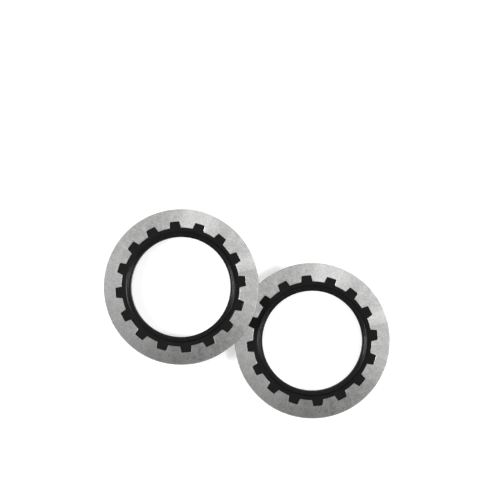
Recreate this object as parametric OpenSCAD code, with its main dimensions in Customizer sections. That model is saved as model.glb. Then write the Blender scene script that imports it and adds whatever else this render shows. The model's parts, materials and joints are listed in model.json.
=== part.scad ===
// Pair of bonded seal washers, one lying flat and one leaning on its rim.
// Each washer is a blanked steel ring whose inner edge is cut into square teeth.
// A rubber seal is moulded onto that edge: its tabs fill the gaps between the
// teeth, and a round bead stands proud of each face for a bolt to squeeze.
// The origin lies on the surface that they rest on, below the middle of the pair.
// X runs through both centres, from the leaning washer to the flat one. Z is up.

/* [Steel ring] */
// Outside diameter
ring_d = 38.5; // [37.5:0.5:46]
// Thickness of the sheet that it is blanked from
ring_t = 2; // [1.9:0.1:3]
// Radius that tumbling leaves on the two corners of the rim
rim_edge_r = 0.15; // [0.05:0.05:0.4]
// Diameter of the circle that the tips of the teeth lie on
tooth_d = 29.4; // [28.8:0.1:30.4]

/* [Notches between the teeth] */
// How many there are, each filled by a rubber tab
notch_count = 16; // [8:1:20]
// Distance from the axis to the straight end of a notch
notch_reach = 16.2; // [15.8:0.1:17.2]
// Width at that end
notch_w = 2.4; // [1.6:0.1:2.8]
// Slope of each side, in degrees, opening towards the bore
notch_flare = 8; // [0:1:12]
// Radius of the punch's two corners
notch_corner_r = 0.2; // [0.1:0.05:0.5]
// Turn of the first notch from the line through both centres, in degrees
notch_turn = 5; // [0:0.5:22]

/* [Rubber seal] */
// Diameter of the bore, which clears the bolt
bore_d = 24.7; // [24:0.1:25.2]
// Radius on the two edges of the bore
bore_edge_r = 0.13; // [0.05:0.01:0.15]
// Height of a bead above the steel
bead_h = 0.35; // [0.25:0.05:0.35]
// Width of a bead at its foot
bead_w = 1.2; // [0.9:0.1:1.3]
// Distance from the bore to the crest of a bead
bead_inset = 1; // [0.8:0.05:1.1]

/* [Pair] */
// How far the leaning washer's rim reaches over the flat one's
overlap = 3.4; // [2:0.1:4]

/* [Hidden] */
ring_r = ring_d / 2;
tooth_r = tooth_d / 2;
bore_r = bore_d / 2;

// Circle whose cap is the bead, from the cap's width and height
bead_arc_r = (pow(bead_w / 2, 2) + pow(bead_h, 2)) / (2 * bead_h);
bead_crest_r = bore_r + bead_inset;
// A bead is sunk this far into the lining of the bore, so that the two join
bead_root = 0.1;
// Inner edge of the flat part of the seal, under the inner half of the beads
web_r = bead_crest_r - bead_w / 4;

// A notch, and the tab in it, starts this far inside the tips of the teeth,
// so that the tab grows out of the flat part of the seal
tab_root = 0.6;
notch_start = tooth_r - tab_root;
corner_steps = 4;

// The leaning washer touches at two rounded corners of rim: its own lower one,
// on the surface, and the flat washer's upper one, under its lower face.
// The centres of these two corners are this far apart, upwards and along that face.
corner_rise = bead_h + ring_t - 2 * rim_edge_r;
corner_run = ring_d - overlap;
corner_step = 2 * rim_edge_r;
lean = asin(corner_rise / norm([corner_run, corner_step])) + atan2(corner_step, corner_run);

// Centre of the leaning washer's lower face, above the surface
lean_z = rim_edge_r + (ring_r - rim_edge_r) * sin(lean) - rim_edge_r * cos(lean);
// Distance between the two axes, measured at that height on the leaning one
spacing = (ring_r - overlap + rim_edge_r) * cos(lean)
    + rim_edge_r * sin(lean) + ring_r - rim_edge_r;
// How far the leaning washer reaches out from that centre, away from the flat one
lean_reach = (ring_r - rim_edge_r) * cos(lean) + (ring_t - rim_edge_r) * sin(lean) + rim_edge_r;
lean_x = (lean_reach - spacing - ring_r) / 2;

steel_color = "#b2b2b0";
rubber_color = "#202020";
// Overshoot of a cutter past the face that it cuts
cut = 0.5;
$fn = 180;

// Points along an arc, from one angle to another
function arc(centre, r, from, to, steps) =
    [for (i = [0:steps]) let (a = from + (to - from) * i / steps) centre + r * [cos(a), sin(a)]];

// Rectangle in the section plane with the two corners on its right rounded
module round_right(size, r) {
    square([size.x - r, size.y]);
    translate([0, r]) square([size.x, size.y - 2 * r]);
    for (y = [r, size.y - r])
        translate([size.x - r, y]) circle(r);
}

// One notch seen from above, pointing along X from inside the teeth to its straight end
module notch_outline() {
    half_end = notch_w / 2;
    half_start = half_end + (notch_reach - notch_start) * tan(notch_flare);
    // Centre of the corner's arc, which touches both the end and the sloping side
    corner = [
        notch_reach - notch_corner_r,
        half_end - notch_corner_r * (1 - sin(notch_flare)) / cos(notch_flare)
    ];
    side = [
        [notch_start, half_start],
        each arc(corner, notch_corner_r, 90 - notch_flare, 0, corner_steps)
    ];
    far_side = [for (i = [len(side) - 1:-1:0]) [side[i].x, -side[i].y]];
    polygon(concat(side, far_side));
}

// Every notch round the ring, from one height to another
module notches(bottom, top) {
    for (i = [0:notch_count - 1])
        rotate(notch_turn + i * 360 / notch_count)
            translate([0, 0, bottom])
                linear_extrude(top - bottom) notch_outline();
}

// Half section of the steel ring, with the sheet's lower face at zero
module ring_section() {
    translate([tooth_r, 0]) round_right([ring_r - tooth_r, ring_t], rim_edge_r);
}

// Section of one bead, with the face that it stands on at zero
module bead_section() {
    intersection() {
        translate([0, bead_h - bead_arc_r]) circle(bead_arc_r);
        translate([-bead_w / 2, -bead_root]) square([bead_w, bead_root + bead_h]);
    }
}

// Half section of the lining of the bore, which carries both beads
module lining_section() {
    translate([bead_crest_r, 0]) mirror([1, 0]) round_right([bead_inset, ring_t], bore_edge_r);
    translate([bead_crest_r, ring_t]) bead_section();
    translate([bead_crest_r, 0]) mirror([0, 1]) bead_section();
}

// The flat part of the seal, as thick as the steel: a ring out to the tips of the
// teeth, and the tabs. Its inner edge lies in the lining, under the beads.
module web() {
    difference() {
        union() {
            cylinder(r = tooth_r, h = ring_t);
            notches(0, ring_t);
        }
        translate([0, 0, -cut]) cylinder(r = web_r, h = ring_t + 2 * cut);
    }
}

module steel_ring() {
    color(steel_color) difference() {
        rotate_extrude() ring_section();
        notches(-cut, ring_t + cut);
    }
}

module rubber_seal() {
    color(rubber_color) union() {
        rotate_extrude() lining_section();
        web();
    }
}

// The flat washer stands on its lower bead
module lay_flat() {
    translate([lean_x + spacing, 0, bead_h]) children();
}

module lean_over() {
    translate([lean_x, 0, lean_z]) rotate([0, -lean, 0]) children();
}

module lower_steel_ring() {
    lay_flat() steel_ring();
}

module lower_rubber_seal() {
    lay_flat() rubber_seal();
}

module upper_steel_ring() {
    lean_over() steel_ring();
}

module upper_rubber_seal() {
    lean_over() rubber_seal();
}

lower_steel_ring();
lower_rubber_seal();
upper_steel_ring();
upper_rubber_seal();
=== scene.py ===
"""Two bonded seal washers in their finished look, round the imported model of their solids.

Each washer gets two pieces: the blanked steel ring and the rubber seal moulded into it.
They are drawn in the washer's own space, whose origin is the middle of the bore and whose
Z is the bore's axis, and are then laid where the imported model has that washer.
"""

import json
from math import atan2, cos, pi, radians, sin

import bmesh
import bpy
from bpy.props import FloatProperty, FloatVectorProperty, IntProperty, PointerProperty
from mathutils import Matrix, Vector
from mathutils.geometry import intersect_line_sphere_2d


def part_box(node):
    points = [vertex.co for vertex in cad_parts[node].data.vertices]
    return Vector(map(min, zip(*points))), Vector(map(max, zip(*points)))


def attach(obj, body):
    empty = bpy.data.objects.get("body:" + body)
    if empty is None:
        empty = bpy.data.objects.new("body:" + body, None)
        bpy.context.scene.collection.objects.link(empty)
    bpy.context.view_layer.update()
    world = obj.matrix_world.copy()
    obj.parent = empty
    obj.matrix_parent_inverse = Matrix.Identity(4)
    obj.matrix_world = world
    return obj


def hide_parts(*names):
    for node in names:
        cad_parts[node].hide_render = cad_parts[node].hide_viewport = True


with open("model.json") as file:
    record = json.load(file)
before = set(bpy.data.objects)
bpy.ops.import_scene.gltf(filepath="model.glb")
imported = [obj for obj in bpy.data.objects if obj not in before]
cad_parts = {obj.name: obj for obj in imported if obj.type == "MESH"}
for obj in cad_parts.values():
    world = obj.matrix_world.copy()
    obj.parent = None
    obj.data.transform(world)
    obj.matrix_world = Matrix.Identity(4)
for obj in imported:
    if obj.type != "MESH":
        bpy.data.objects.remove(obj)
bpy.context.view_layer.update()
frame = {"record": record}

bl_info = {
    "name": "Bonded seal washers",
    "version": (1, 0, 0),
    "blender": (4, 5, 0),
    "location": "View3D > Sidebar > Washers",
    "description": "Steel rings with moulded rubber seals, and a studio to look at them in",
    "category": "Add Mesh",
}

MM = 0.001
Y_AXIS = Vector((0, 1, 0))
Z_AXIS = Vector((0, 0, 1))

BODY = "root"
WASHERS = ("upper", "lower")

# Points closer than this are one point
MERGE = 0.0005 * MM
# A face lies flat, and isn't a wall, where its normal's Z is above this
FLAT = 0.5
# Edges that turn more than this stay crisp
CRISP = radians(38)
# How finely each curve is drawn
RIM_STEPS = 16
TOOTH_STEPS = 3
CORNER_STEPS = 3
CROWN_STEPS = 14
HOLLOW_STEPS = 5
EDGE_STEPS = 4

# Millimetres from the axis to the middle of the steel, between the notches and the rim
STEEL_MIDDLE_MM = 17.8

# Painted highlights and painted shade on each ring's steel, lighter or darker by heading: heading from the
# line through both centres in degrees, how far to each side it fades, and how strongly
PAINTED_LIGHT_BANDS = (
    (43, 8, 0.26),
    (97, 19, 0.23),
    (141, 29, -0.14),
    (221, 45, 0.15),
    (308, 56, -0.31),
)


def mount(name):
    """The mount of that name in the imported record."""
    return next(m for m in frame["record"]["mounts"] if m["name"] == name)


def node_size(name):
    """Width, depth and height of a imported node's box."""
    low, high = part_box(name)
    return high - low


def washer_place(washer):
    """Matrix from a washer's own space to the frame, read from the mount in its bore."""
    bore = mount(washer + "_bore")
    turn = Z_AXIS.rotation_difference(Vector(bore["axis"]))
    return Matrix.Translation(Vector(bore["pos_m"])) @ turn.to_matrix().to_4x4()


def hex_to_linear(code):
    """Linear red, green and blue of an sRGB colour such as #9a9a98."""
    channels = [int(code[i:i + 2], 16) / 255 for i in (1, 3, 5)]
    return [c / 12.92 if c <= 0.04045 else ((c + 0.055) / 1.055) ** 2.4 for c in channels]


def length(name, description, default, **more):
    """A size in metres, shown in the scene's unit of length."""
    return FloatProperty(
        name=name, description=description, default=default, min=0, unit="LENGTH", precision=5, **more
    )


def angle(name, description, degrees):
    """An angle, shown in degrees."""
    return FloatProperty(name=name, description=description, default=radians(degrees), subtype="ANGLE")


def colour(name, description, code):
    """A colour, written as an sRGB hex code."""
    return FloatVectorProperty(
        name=name, description=description, default=hex_to_linear(code),
        subtype="COLOR", size=3, min=0, max=1,
    )


def share(name, description, default):
    """A number from nought to one."""
    return FloatProperty(name=name, description=description, default=default, min=0, max=1, subtype="FACTOR")


class WasherSizes(bpy.types.PropertyGroup):
    """Sizes of one washer, alike for both."""

    ring_d: length("Ring diameter", "Outside diameter of the steel", node_size("lower_steel_ring").x)
    ring_t: length("Sheet", "Thickness of the steel", node_size("lower_steel_ring").z)
    rim_edge_r: length("Rim edge", "Radius on the rim's two corners", 0.15 * MM)
    tooth_edge_r: length("Tooth edge", "Radius that tumbling leaves on the teeth", 0.06 * MM)
    tooth_d: length("Tooth circle", "Diameter of the circle through the tips of the teeth", 29.4 * MM)
    notch_count: IntProperty(
        name="Notches", description="How many notches the ring has", default=16, min=8, max=20
    )
    notch_reach: length("Notch reach", "From the axis to a notch's straight end", 16.2 * MM)
    notch_w: length("Notch width", "Width of a notch at its straight end", 2.4 * MM)
    notch_flare: angle("Notch flare", "Slope of each side, opening towards the bore", 8)
    notch_corner_r: length("Notch corner", "Radius in a notch's two corners", 0.2 * MM)
    notch_turn: angle("Notch turn", "From the line through both centres to the first notch", 5)
    bore_d: length("Bore", "Diameter of the hole", 2 * mount("lower_bore")["dims"]["r_mm"] * MM)
    bore_edge_r: length("Bore edge", "Radius on the two edges of the bore", 0.13 * MM)
    bead_h: length("Bead height", "Height of a bead above the steel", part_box("lower_steel_ring")[0].z)
    bead_w: length("Bead width", "Width of a bead at its foot", 1.2 * MM)
    bead_inset: length("Bead inset", "From the bore to a bead's crest", 1 * MM)
    tab_sink: length("Tab sink", "How far cooling draws the rubber below the steel", 0.02 * MM)


class WasherFinish(bpy.types.PropertyGroup):
    """Colours and gloss of the steel and the rubber."""

    # The light and dark steel are the ends of the random mottle, and also of the painted highlights and
    # painted shade of the heading bands
    steel_light: colour("Steel, light", "The steel where tumbling has rubbed it brightest", "#efefee")
    steel_dark: colour("Steel, dark", "The steel where its grey skin is left", "#8a8a89")
    shear_light: colour("Sheared band", "The band of the rim that the die burnished", "#b9b9b8")
    shear_dark: colour("Torn band", "The band of the rim that tore", "#838381")
    rubber_light: colour("Rubber, light", "The rubber where it is rubbed", "#0f0f0f")
    rubber_dark: colour("Rubber, dark", "The rubber as moulded", "#0c0c0c")
    steel_roughness: share("Steel roughness", "Mean roughness of the steel's faces", 0.305)
    land_roughness: share("Land roughness", "Roughness of the rubber's flat faces", 0.9)
    bead_roughness: share("Bead roughness", "Roughness of the beads, which the mould polishes", 0.24)


class StudioSettings(bpy.types.PropertyGroup):
    """The camera and the lights."""

    lens: FloatProperty(
        name="Lens", description="Focal length", default=150, min=20, unit="CAMERA"
    )
    back_light: FloatProperty(
        name="Back softbox", description="Power of the large softbox behind", default=0.093, unit="POWER"
    )
    left_light: FloatProperty(
        name="Left lamp", description="Power of the small lamp at the left", default=0.66, unit="POWER"
    )
    right_light: FloatProperty(
        name="Right lamp", description="Power of the small lamp at the right", default=0.42, unit="POWER"
    )
    floor: colour("Floor", "Colour of the paper on the floor", "#dcdcdc")


def arc(bm, start, centre, axis, turn, steps):
    """Grows an arc of edges from a vertex, and returns the vertex at its far end."""
    made = bmesh.ops.spin(
        bm, geom=[start], cent=centre, axis=axis, angle=turn, steps=steps, use_duplicate=False
    )
    return next(g for g in made["geom_last"] if isinstance(g, bmesh.types.BMVert))


def on_circle(radius, turn, z=0):
    """The point at that radius and angle."""
    return Vector((radius * cos(turn), radius * sin(turn), z))


def from_axis(vert):
    """A vertex's distance from the washer's axis."""
    return vert.co.xy.length


def draw_notch(bm, sizes):
    """Draws one pitch of the toothed edge, its notch in the middle, and returns its ends and corners."""
    half_pitch = pi / sizes.notch_count
    ends = []
    corners = []
    for side in (-1, 1):
        corner = Vector((sizes.notch_reach, side * sizes.notch_w / 2))
        inwards = Vector((-cos(sizes.notch_flare), side * sin(sizes.notch_flare)))
        meets = intersect_line_sphere_2d(
            corner, corner + inwards * sizes.notch_reach, (0, 0), sizes.tooth_d / 2
        )
        foot = next(point for point in meets if point)
        foot_vert = bm.verts.new(foot.to_3d())
        corner_vert = bm.verts.new(corner.to_3d())
        bm.edges.new((foot_vert, corner_vert))
        turn = side * half_pitch - atan2(foot.y, foot.x)
        ends.append(arc(bm, foot_vert, (0, 0, 0), Z_AXIS, turn, TOOTH_STEPS))
        corners.append(corner_vert)
    bm.edges.new(corners)
    return ends, corners


def draw_toothed_sheet(bm, sizes, radius, steps):
    """Fills the flat space between the toothed edge and a circle, pitch by pitch round the ring."""
    pitch = 2 * pi / sizes.notch_count
    ends, corners = draw_notch(bm, sizes)
    start = bm.verts.new(on_circle(radius, -pitch / 2))
    end = arc(bm, start, (0, 0, 0), Z_AXIS, pitch, steps)
    bm.edges.new((ends[0], start))
    bm.edges.new((ends[1], end))
    bmesh.ops.contextual_create(bm, geom=bm.edges[:])
    bmesh.ops.bevel(
        bm, geom=corners, offset=sizes.notch_corner_r, affect="VERTICES",
        segments=CORNER_STEPS, profile=0.5, material=-1,
    )
    bmesh.ops.spin(
        bm, geom=bm.verts[:] + bm.edges[:] + bm.faces[:], cent=(0, 0, 0), axis=Z_AXIS,
        angle=2 * pi - pitch, steps=sizes.notch_count - 1, use_duplicate=True,
    )
    bmesh.ops.remove_doubles(bm, verts=bm.verts, dist=MERGE)


def thicken(bm, thickness):
    """Makes the flat sheet a slab of that thickness, with its middle at zero."""
    bmesh.ops.translate(bm, verts=bm.verts, vec=(0, 0, -thickness / 2))
    raised = bmesh.ops.extrude_face_region(bm, geom=bm.faces[:], use_keep_orig=True)
    tops = [g for g in raised["geom"] if isinstance(g, bmesh.types.BMVert)]
    bmesh.ops.translate(bm, verts=tops, vec=(0, 0, thickness))


def round_cap_edges(bm, inside, outside, radius):
    """Rounds the edges between the flat faces and the walls that lie between two radii."""
    edges = [
        e for e in bm.edges
        if len(e.link_faces) == 2
        and sum(abs(f.normal.z) > FLAT for f in e.link_faces) == 1
        and all(inside < from_axis(v) < outside for v in e.verts)
    ]
    bmesh.ops.bevel(
        bm, geom=edges, offset=radius, affect="EDGES", segments=EDGE_STEPS,
        profile=0.5, material=-1, clamp_overlap=True,
    )


def steel_ring_mesh(sizes):
    """The blanked ring: a flat slab with a toothed inner edge and rounded corners on its rim."""
    bm = bmesh.new()
    ring_r = sizes.ring_d / 2
    draw_toothed_sheet(bm, sizes, ring_r, RIM_STEPS)
    thicken(bm, sizes.ring_t)
    bmesh.ops.recalc_face_normals(bm, faces=bm.faces)
    middle = (sizes.notch_reach + ring_r) / 2
    round_cap_edges(bm, middle, 2 * ring_r, sizes.rim_edge_r)
    round_cap_edges(bm, 0, middle, sizes.tooth_edge_r)
    for face in bm.faces:
        if abs(face.normal.z) < FLAT and from_axis(face.verts[0]) > middle:
            face.material_index = 1
    return bm


def bead_foot_r(sizes):
    """Distance from the axis to the outer foot of a bead."""
    return sizes.bore_d / 2 + sizes.bead_inset + sizes.bead_w / 2


def draw_seal_section(bm, sizes, land_r):
    """Draws the seal's section above its middle, from the land beside the teeth to the bore."""
    top = sizes.ring_t / 2 - sizes.tab_sink
    bore_r = sizes.bore_d / 2
    crest_r = bore_r + sizes.bead_inset
    half_w = sizes.bead_w / 2
    height = sizes.bead_h + sizes.tab_sink
    # Each flank is two equal arcs, hollow at its foot and round at its shoulder
    flank_turn = 2 * atan2(height, half_w)
    flank_r = half_w / (2 * sin(flank_turn))
    land = bm.verts.new((land_r, 0, top))
    foot = bm.verts.new((crest_r + half_w, 0, top))
    outer_hollow = (crest_r + half_w, 0, top + flank_r)
    crown = (crest_r, 0, top + height - flank_r)
    inner_hollow = (crest_r - half_w, 0, top + flank_r)
    shoulder = arc(bm, foot, outer_hollow, Y_AXIS, flank_turn, HOLLOW_STEPS)
    shoulder = arc(bm, shoulder, crown, Y_AXIS, -2 * flank_turn, CROWN_STEPS)
    far_foot = arc(bm, shoulder, inner_hollow, Y_AXIS, flank_turn, HOLLOW_STEPS)
    edge_start = bm.verts.new((bore_r + sizes.bore_edge_r, 0, top))
    edge_centre = (bore_r + sizes.bore_edge_r, 0, top - sizes.bore_edge_r)
    edge_end = arc(bm, edge_start, edge_centre, Y_AXIS, -pi / 2, EDGE_STEPS)
    middle = bm.verts.new((bore_r, 0, 0))
    for pair in ((land, foot), (far_foot, edge_start), (edge_end, middle)):
        bm.edges.new(pair)


def rubber_seal_mesh(sizes):
    """The moulded seal: tabs between the teeth, a bead on each face and the wall of the bore."""
    bm = bmesh.new()
    land_r = (bead_foot_r(sizes) + sizes.tooth_d / 2) / 2
    draw_toothed_sheet(bm, sizes, land_r, RIM_STEPS)
    thicken(bm, sizes.ring_t - 2 * sizes.tab_sink)
    inner_wall = [f for f in bm.faces if all(abs(from_axis(v) - land_r) < MERGE for v in f.verts)]
    bmesh.ops.delete(bm, geom=inner_wall, context="FACES")

    section = bmesh.new()
    draw_seal_section(section, sizes, land_r)
    bmesh.ops.mirror(
        section, geom=section.verts[:] + section.edges[:], matrix=Matrix(), axis="Z", merge_dist=MERGE
    )
    half_pitch = Matrix.Rotation(-pi / sizes.notch_count, 3, "Z")
    bmesh.ops.rotate(section, verts=section.verts, cent=(0, 0, 0), matrix=half_pitch)
    bmesh.ops.spin(
        section, geom=section.verts[:] + section.edges[:], cent=(0, 0, 0), axis=Z_AXIS,
        angle=2 * pi, steps=RIM_STEPS * sizes.notch_count, use_merge=True, use_duplicate=False,
    )
    ring = bpy.data.meshes.new("seal_section")
    section.to_mesh(ring)
    section.free()
    bm.from_mesh(ring)
    bpy.data.meshes.remove(ring)
    bmesh.ops.remove_doubles(bm, verts=bm.verts, dist=MERGE)
    bmesh.ops.recalc_face_normals(bm, faces=bm.faces)
    return bm


def make_piece(name, bm, washer, sizes, materials):
    """Turns a mesh drawn in the washer's own space into a finished piece in the frame."""
    place = washer_place(washer) @ Matrix.Rotation(sizes.notch_turn, 4, "Z")
    bmesh.ops.transform(bm, matrix=place, verts=bm.verts)
    mesh = bpy.data.meshes.new(name)
    bm.to_mesh(mesh)
    bm.free()
    for material in materials:
        mesh.materials.append(material)
    mesh.shade_smooth()
    mesh.set_sharp_from_angle(angle=CRISP)
    piece = bpy.data.objects.new(name, mesh)
    bpy.context.scene.collection.objects.link(piece)
    weights = piece.modifiers.new("Flat faces stay flat", "WEIGHTED_NORMAL")
    weights.keep_sharp = True
    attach(piece, BODY)
    return piece


def add_node(tree, kind, inputs=None, **settings):
    """Adds a node, sets its properties, and fills its inputs with values or with other nodes' outputs."""
    node = tree.nodes.new(kind)
    for name, value in settings.items():
        setattr(node, name, value)
    for name, value in (inputs or {}).items():
        if isinstance(value, bpy.types.NodeSocket):
            tree.links.new(value, node.inputs[name])
        else:
            node.inputs[name].default_value = value
    return node


def new_material(name):
    """An empty material, its node tree and its shader."""
    material = bpy.data.materials.new(name)
    material.use_nodes = True
    tree = material.node_tree
    return material, tree, tree.nodes["Principled BSDF"]


def washer_space(tree, washer):
    """A point's place in the washer's own space, in millimetres."""
    place = washer_place(washer)
    where = add_node(tree, "ShaderNodeTexCoord").outputs["Object"]
    local = add_node(
        tree, "ShaderNodeMapping",
        {"Vector": where, "Location": place.translation, "Rotation": place.to_euler()},
        vector_type="TEXTURE",
    ).outputs["Vector"]
    return add_node(
        tree, "ShaderNodeVectorMath", {0: local, "Scale": 1 / MM}, operation="SCALE"
    ).outputs["Vector"]


def seen_along_bore(tree, point):
    """The same place with its height left out."""
    return add_node(
        tree, "ShaderNodeVectorMath", {0: point, 1: (1, 1, 0)}, operation="MULTIPLY"
    ).outputs["Vector"]


def radius_of(tree, flat):
    """Distance from the axis, of a place with no height."""
    return add_node(tree, "ShaderNodeVectorMath", {0: flat}, operation="LENGTH").outputs["Value"]


def roughen(tree, shader, height, strength, depth_mm):
    """Gives a surface fine relief from a pattern, of that depth."""
    bump = add_node(
        tree, "ShaderNodeBump", {"Strength": strength, "Distance": depth_mm * MM, "Height": height}
    ).outputs["Normal"]
    tree.links.new(bump, shader.inputs["Normal"])


def mapped(tree, value, low, high, to_low, to_high):
    """A value between two limits, spread between two others."""
    inputs = {"Value": value, "From Min": low, "From Max": high, "To Min": to_low, "To Max": to_high}
    return add_node(tree, "ShaderNodeMapRange", inputs, interpolation_type="SMOOTHSTEP").outputs["Result"]


def noise(tree, point, size_mm, **inputs):
    """Noise whose lumps are that many millimetres across."""
    inputs = {"Vector": point, "Scale": 1 / size_mm, **inputs}
    return add_node(tree, "ShaderNodeTexNoise", inputs).outputs["Fac"]


def weighed(tree, parts):
    """The sum of several values, each times its weight."""
    total = 0.0
    for value, weight in parts:
        total = add_node(
            tree, "ShaderNodeMath", {0: value, 1: weight, 2: total}, operation="MULTIPLY_ADD"
        ).outputs[0]
    return total


def blend_colour(tree, factor, low, high):
    """A colour between two, by a factor."""
    node = add_node(tree, "ShaderNodeMix", {"Factor": factor}, data_type="RGBA")
    for name, value in (("A_Color", low), ("B_Color", high)):
        socket = next(s for s in node.inputs if s.identifier == name)
        if isinstance(value, bpy.types.NodeSocket):
            tree.links.new(value, socket)
        else:
            socket.default_value = (*value, 1)
    return next(s for s in node.outputs if s.identifier == "Result_Color")


def tumbled_steel(washer, finish, sizes):
    """Mild steel sheet, blanked and tumbled.

    To the eye it is a satin mid grey with a soft mottle and a fine grain. Bands round the ring are
    painted lighter or darker by heading: painted highlights and painted shade, fixed to the washer.
    """
    material, tree, shader = new_material("tumbled_steel_" + washer)
    point = washer_space(tree, washer)
    flat = seen_along_bore(tree, point)
    spoke = add_node(tree, "ShaderNodeVectorMath", {0: flat}, operation="NORMALIZE").outputs["Vector"]
    # Streaks run from the bore to the rim, and are 2 mm apart at the middle of the steel
    streaks = noise(tree, spoke, 2 / STEEL_MIDDLE_MM, Detail=3, Roughness=0.6)
    # Patches of darker skin are some 1.6 mm across
    mottle = noise(tree, point, 1.6, Detail=4, Roughness=0.6)
    # The grain is really some 0.05 mm across, and is drawn coarser so that it shows
    grain = noise(tree, point, 0.4, Detail=2)
    parts = ((streaks, 0.35), (mottle, 0.4), (grain, 0.55))
    # Each of these averages a half, and the shift makes the tone average a half too
    shift = (sum(weight for _, weight in parts) - 1) / 2
    tone = add_node(
        tree, "ShaderNodeMath", {0: weighed(tree, parts), 1: shift}, operation="SUBTRACT"
    ).outputs[0]
    # Each band paints a highlight or a shade into the steel's colour, by heading round the ring
    for heading, reach, strength in PAINTED_LIGHT_BANDS:
        facing = add_node(
            tree, "ShaderNodeVectorMath", {0: spoke, 1: on_circle(1, radians(heading))},
            operation="DOT_PRODUCT",
        ).outputs["Value"]
        wear_and_painted_light = mapped(tree, facing, cos(radians(reach)), 1, 0, strength)
        tone = add_node(tree, "ShaderNodeMath", {0: tone, 1: wear_and_painted_light}, operation="ADD").outputs[0]
    # The steel's colour holds the random mottle and grain, and the painted highlights and shade of the bands
    skin = blend_colour(tree, tone, finish.steel_dark, finish.steel_light)
    tree.links.new(skin, shader.inputs["Base Color"])
    # The steel is smoother where it is brighter, and the rounded corner of its rim is scuffed matt
    rough, smooth = finish.steel_roughness + 0.03, finish.steel_roughness - 0.03
    corner = (sizes.ring_d / 2 - sizes.rim_edge_r) / MM
    scuffed = mapped(tree, radius_of(tree, flat), corner - 0.02, corner + 0.03, 0, 0.35)
    roughness = add_node(
        tree, "ShaderNodeMath", {0: mapped(tree, tone, 0, 1, rough, smooth), 1: scuffed}, operation="ADD"
    ).outputs[0]
    tree.links.new(roughness, shader.inputs["Roughness"])
    shader.inputs["Metallic"].default_value = 1
    roughen(tree, shader, grain, 0.2, 0.005)
    return material


def sheared_steel(washer, finish):
    """The steel of the rim, as the blanking die left it.

    To the eye it has a bright band, burnished by the die and scored upright, and below that
    a dull grey band where the sheet tore. The border between them wanders.
    """
    material, tree, shader = new_material("sheared_steel_" + washer)
    point = washer_space(tree, washer)
    # The scores are really some 0.03 mm apart, and are drawn coarser and long so that they show
    upright = add_node(
        tree, "ShaderNodeVectorMath", {0: point, 1: (1, 1, 0.06)}, operation="MULTIPLY"
    ).outputs["Vector"]
    scores = noise(tree, upright, 0.12, Detail=3)
    height = add_node(tree, "ShaderNodeSeparateXYZ", {"Vector": point}).outputs["Z"]
    # The border wanders in waves some 2.5 mm long, by half a millimetre at most
    wander = noise(tree, point, 2.5, Detail=2)
    level = add_node(
        tree, "ShaderNodeMath", {0: wander, 1: 0.5, 2: height}, operation="MULTIPLY_ADD"
    ).outputs[0]
    band = mapped(tree, level, 0.15, 0.25, 0, 1)
    skin = blend_colour(tree, band, finish.shear_dark, finish.shear_light)
    tree.links.new(skin, shader.inputs["Base Color"])
    tree.links.new(mapped(tree, band, 0, 1, 0.55, 0.3), shader.inputs["Roughness"])
    shader.inputs["Metallic"].default_value = 1
    roughen(tree, shader, scores, 0.4, 0.02)
    return material


def moulded_rubber(washer, finish, sizes):
    """Nitrile rubber, compression moulded in a steel mould.

    To the eye it is near black all over: matt on its flat faces, with a soft gloss on the beads,
    whose groove in the mould is polished.
    """
    material, tree, shader = new_material("moulded_nitrile_" + washer)
    point = washer_space(tree, washer)
    # Patches where the rubber is rubbed, 3 mm across. Noise seldom leaves the middle of its range
    wear_and_painted_light = mapped(tree, noise(tree, point, 3, Detail=3), 0.35, 0.65, 0, 1)
    skin = blend_colour(tree, wear_and_painted_light, finish.rubber_dark, finish.rubber_light)
    tree.links.new(skin, shader.inputs["Base Color"])
    # The gloss ends on the bead's outer flank, just inside its foot
    foot = bead_foot_r(sizes) / MM
    roughness = mapped(
        tree, radius_of(tree, seen_along_bore(tree, point)), foot - 0.3, foot - 0.1,
        finish.bead_roughness, finish.land_roughness,
    )
    tree.links.new(roughness, shader.inputs["Roughness"])
    # Below the usual half, because soot in the rubber dulls its shine
    shader.inputs["Specular IOR Level"].default_value = 0.2
    # The mould's grain is really some 0.02 mm across, and is drawn coarser so that it shows
    roughen(tree, shader, noise(tree, point, 0.12, Detail=2), 0.15, 0.01)
    return material


class SEALWASHERS_OT_steel_rings(bpy.types.Operator):
    """Make the blanked steel ring of each washer"""

    bl_idname = "seal_washers.steel_rings"
    bl_label = "Steel rings"

    def execute(self, context):
        sizes = context.scene.washer_sizes
        finish = context.scene.washer_finish
        for washer in WASHERS:
            materials = [tumbled_steel(washer, finish, sizes), sheared_steel(washer, finish)]
            piece = make_piece(washer + "_ring", steel_ring_mesh(sizes), washer, sizes, materials)
            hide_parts(washer + "_steel_ring")
        return {"FINISHED"}


class SEALWASHERS_OT_rubber_seals(bpy.types.Operator):
    """Make the rubber seal moulded into each washer"""

    bl_idname = "seal_washers.rubber_seals"
    bl_label = "Rubber seals"

    def execute(self, context):
        sizes = context.scene.washer_sizes
        finish = context.scene.washer_finish
        for washer in WASHERS:
            materials = [moulded_rubber(washer, finish, sizes)]
            piece = make_piece(washer + "_seal", rubber_seal_mesh(sizes), washer, sizes, materials)
            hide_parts(washer + "_rubber_seal")
        return {"FINISHED"}


# The photograph's frame, in its own pixels, with the origin at the top left
PHOTO_PX = 500
UPPER_CENTRE_PX = Vector((181.0, 287.1))
LOWER_CENTRE_PX = Vector((311.9, 340.7))
RING_RADIUS_PX = 77.8

# Where each lamp stands from the middle of the pair, and its width and depth, in metres.
# The two small ones are turned with the camera, and stand at its left and right
BACK_PLACE = Vector((0, 0.046, 0.182))
BACK_SIZE = (0.217, 0.13)
LEFT_PLACE = on_circle(0.21, radians(180), 0.136)
LEFT_SIZE = (0.09, 0.06)
RIGHT_PLACE = on_circle(0.183, radians(-9), 0.17)
RIGHT_SIZE = (0.12, 0.06)

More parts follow.
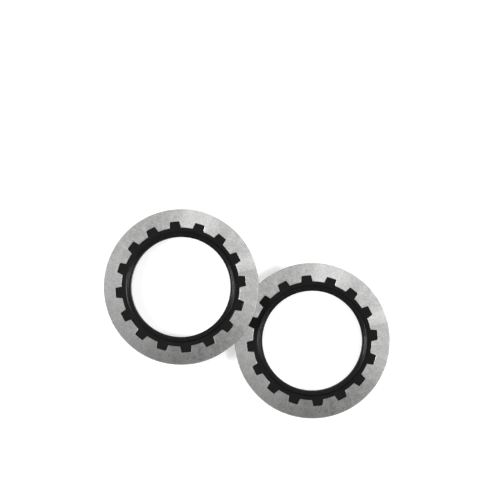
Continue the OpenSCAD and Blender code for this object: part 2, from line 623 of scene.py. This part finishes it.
# Strength of the light from the walls and from the ceiling, and the angles between which it falls
WALL_LIGHT = 0.247
CEILING_LIGHT = 0.017
WALL_TOP = radians(35)
CEILING_EDGE = radians(67.7)

# Half the width of the paper on the floor, and how much it glows to the camera and in reflections
FLOOR_HALF = 1.5
FLOOR_GLOW = 0.5


def face_centre(washer, sizes):
    """The middle of a washer's upper face, in the frame."""
    return washer_place(washer) @ Vector((0, 0, sizes.ring_t / 2))


def add_camera(sizes, studio):
    """Looks straight down, turned and moved so that both rings lie where the photograph has them."""
    upper = face_centre("upper", sizes)
    lower = face_centre("lower", sizes)
    metres_per_px = sizes.ring_d / 2 / RING_RADIUS_PX
    across = LOWER_CENTRE_PX - UPPER_CENTRE_PX
    roll = atan2(lower.y - upper.y, lower.x - upper.x) - atan2(-across.y, across.x)
    middle_px = (UPPER_CENTRE_PX + LOWER_CENTRE_PX) / 2
    off_centre = Vector((middle_px.x - PHOTO_PX / 2, PHOTO_PX / 2 - middle_px.y)) * metres_per_px
    turn = Matrix.Rotation(roll, 3, "Z")
    aim = (upper + lower) / 2 - turn @ off_centre.to_3d()
    data = bpy.data.cameras.new("photo_camera")
    data.lens = studio.lens
    distance = PHOTO_PX * metres_per_px * data.lens / data.sensor_width
    camera = bpy.data.objects.new("photo_camera", data)
    camera.location = aim + Z_AXIS * distance
    camera.rotation_euler = turn.to_euler()
    bpy.context.scene.collection.objects.link(camera)
    bpy.context.scene.camera = camera
    return turn


def add_softbox(name, place, size, power):
    """A rectangular lamp that faces the middle of the pair."""
    data = bpy.data.lights.new(name, "AREA")
    data.shape = "RECTANGLE"
    data.size, data.size_y = size
    data.energy = power
    lamp = bpy.data.objects.new(name, data)
    lamp.location = place
    lamp.rotation_euler = place.to_track_quat("Z", "Y").to_euler()
    lamp.visible_camera = False
    bpy.context.scene.collection.objects.link(lamp)


def add_floor(studio):
    """A sheet of white paper that takes the washers' shadow and looks white all over."""
    bm = bmesh.new()
    bmesh.ops.create_grid(bm, x_segments=1, y_segments=1, size=FLOOR_HALF)
    mesh = bpy.data.meshes.new("floor")
    bm.to_mesh(mesh)
    bm.free()
    material, tree, shader = new_material("white_paper")
    shader.inputs["Base Color"].default_value = (*studio.floor, 1)
    shader.inputs["Roughness"].default_value = 0.9
    shader.inputs["Specular IOR Level"].default_value = 0.2
    rays = add_node(tree, "ShaderNodeLightPath").outputs
    seen = add_node(
        tree, "ShaderNodeMath", {0: rays["Is Camera Ray"], 1: rays["Is Glossy Ray"]}, operation="MAXIMUM"
    ).outputs[0]
    seen = add_node(
        tree, "ShaderNodeMath", {0: seen, 1: rays["Is Transmission Ray"]}, operation="MAXIMUM"
    ).outputs[0]
    shader.inputs["Emission Color"].default_value = (1, 1, 1, 1)
    strength = add_node(tree, "ShaderNodeMath", {0: seen, 1: FLOOR_GLOW}, operation="MULTIPLY").outputs[0]
    tree.links.new(strength, shader.inputs["Emission Strength"])
    mesh.materials.append(material)
    floor = bpy.data.objects.new("floor", mesh)
    bpy.context.scene.collection.objects.link(floor)


def add_world():
    """A studio with white walls and a dark ceiling."""
    world = bpy.data.worlds.new("studio")
    world.use_nodes = True
    tree = world.node_tree
    direction = add_node(tree, "ShaderNodeTexCoord").outputs["Generated"]
    height = add_node(tree, "ShaderNodeSeparateXYZ", {"Vector": direction}).outputs["Z"]
    strength = mapped(tree, height, sin(WALL_TOP), sin(CEILING_EDGE), WALL_LIGHT, CEILING_LIGHT)
    background = tree.nodes["Background"]
    background.inputs["Color"].default_value = (1, 1, 1, 1)
    tree.links.new(strength, background.inputs["Strength"])
    bpy.context.scene.world = world


class SEALWASHERS_OT_stage(bpy.types.Operator):
    """Make the camera, the lights and the floor"""

    bl_idname = "seal_washers.stage"
    bl_label = "Stage"

    def execute(self, context):
        scene = context.scene
        studio = scene.washer_studio
        turn = add_camera(scene.washer_sizes, studio)
        add_softbox("back_softbox", BACK_PLACE, BACK_SIZE, studio.back_light)
        add_softbox("left_lamp", turn @ LEFT_PLACE, LEFT_SIZE, studio.left_light)
        add_softbox("right_lamp", turn @ RIGHT_PLACE, RIGHT_SIZE, studio.right_light)
        add_floor(studio)
        add_world()
        scene.view_settings.view_transform = "Standard"
        return {"FINISHED"}


class SEALWASHERS_PT_build(bpy.types.Panel):
    """Lists what makes the washers and their stage"""

    bl_idname = "SEALWASHERS_PT_build"
    bl_label = "Bonded seal washers"
    bl_space_type = "VIEW_3D"
    bl_region_type = "UI"
    bl_category = "Washers"

    def draw(self, context):
        layout = self.layout
        for operator in OPERATORS:
            layout.operator(operator.bl_idname)
        for group in (context.scene.washer_sizes, context.scene.washer_finish, context.scene.washer_studio):
            box = layout.box()
            for name in group.__annotations__:
                box.prop(group, name)


GROUPS = {"washer_sizes": WasherSizes, "washer_finish": WasherFinish, "washer_studio": StudioSettings}
OPERATORS = (SEALWASHERS_OT_steel_rings, SEALWASHERS_OT_rubber_seals, SEALWASHERS_OT_stage)
CLASSES = (*GROUPS.values(), *OPERATORS, SEALWASHERS_PT_build)


def register():
    for cls in CLASSES:
        bpy.utils.register_class(cls)
    for name, group in GROUPS.items():
        setattr(bpy.types.Scene, name, PointerProperty(type=group))


def unregister():
    for name in GROUPS:
        delattr(bpy.types.Scene, name)
    for cls in reversed(CLASSES):
        bpy.utils.unregister_class(cls)


def main():
    register()
    bpy.ops.seal_washers.steel_rings()
    bpy.ops.seal_washers.rubber_seals()
    bpy.ops.seal_washers.stage()


if __name__ == "__main__":
    main()
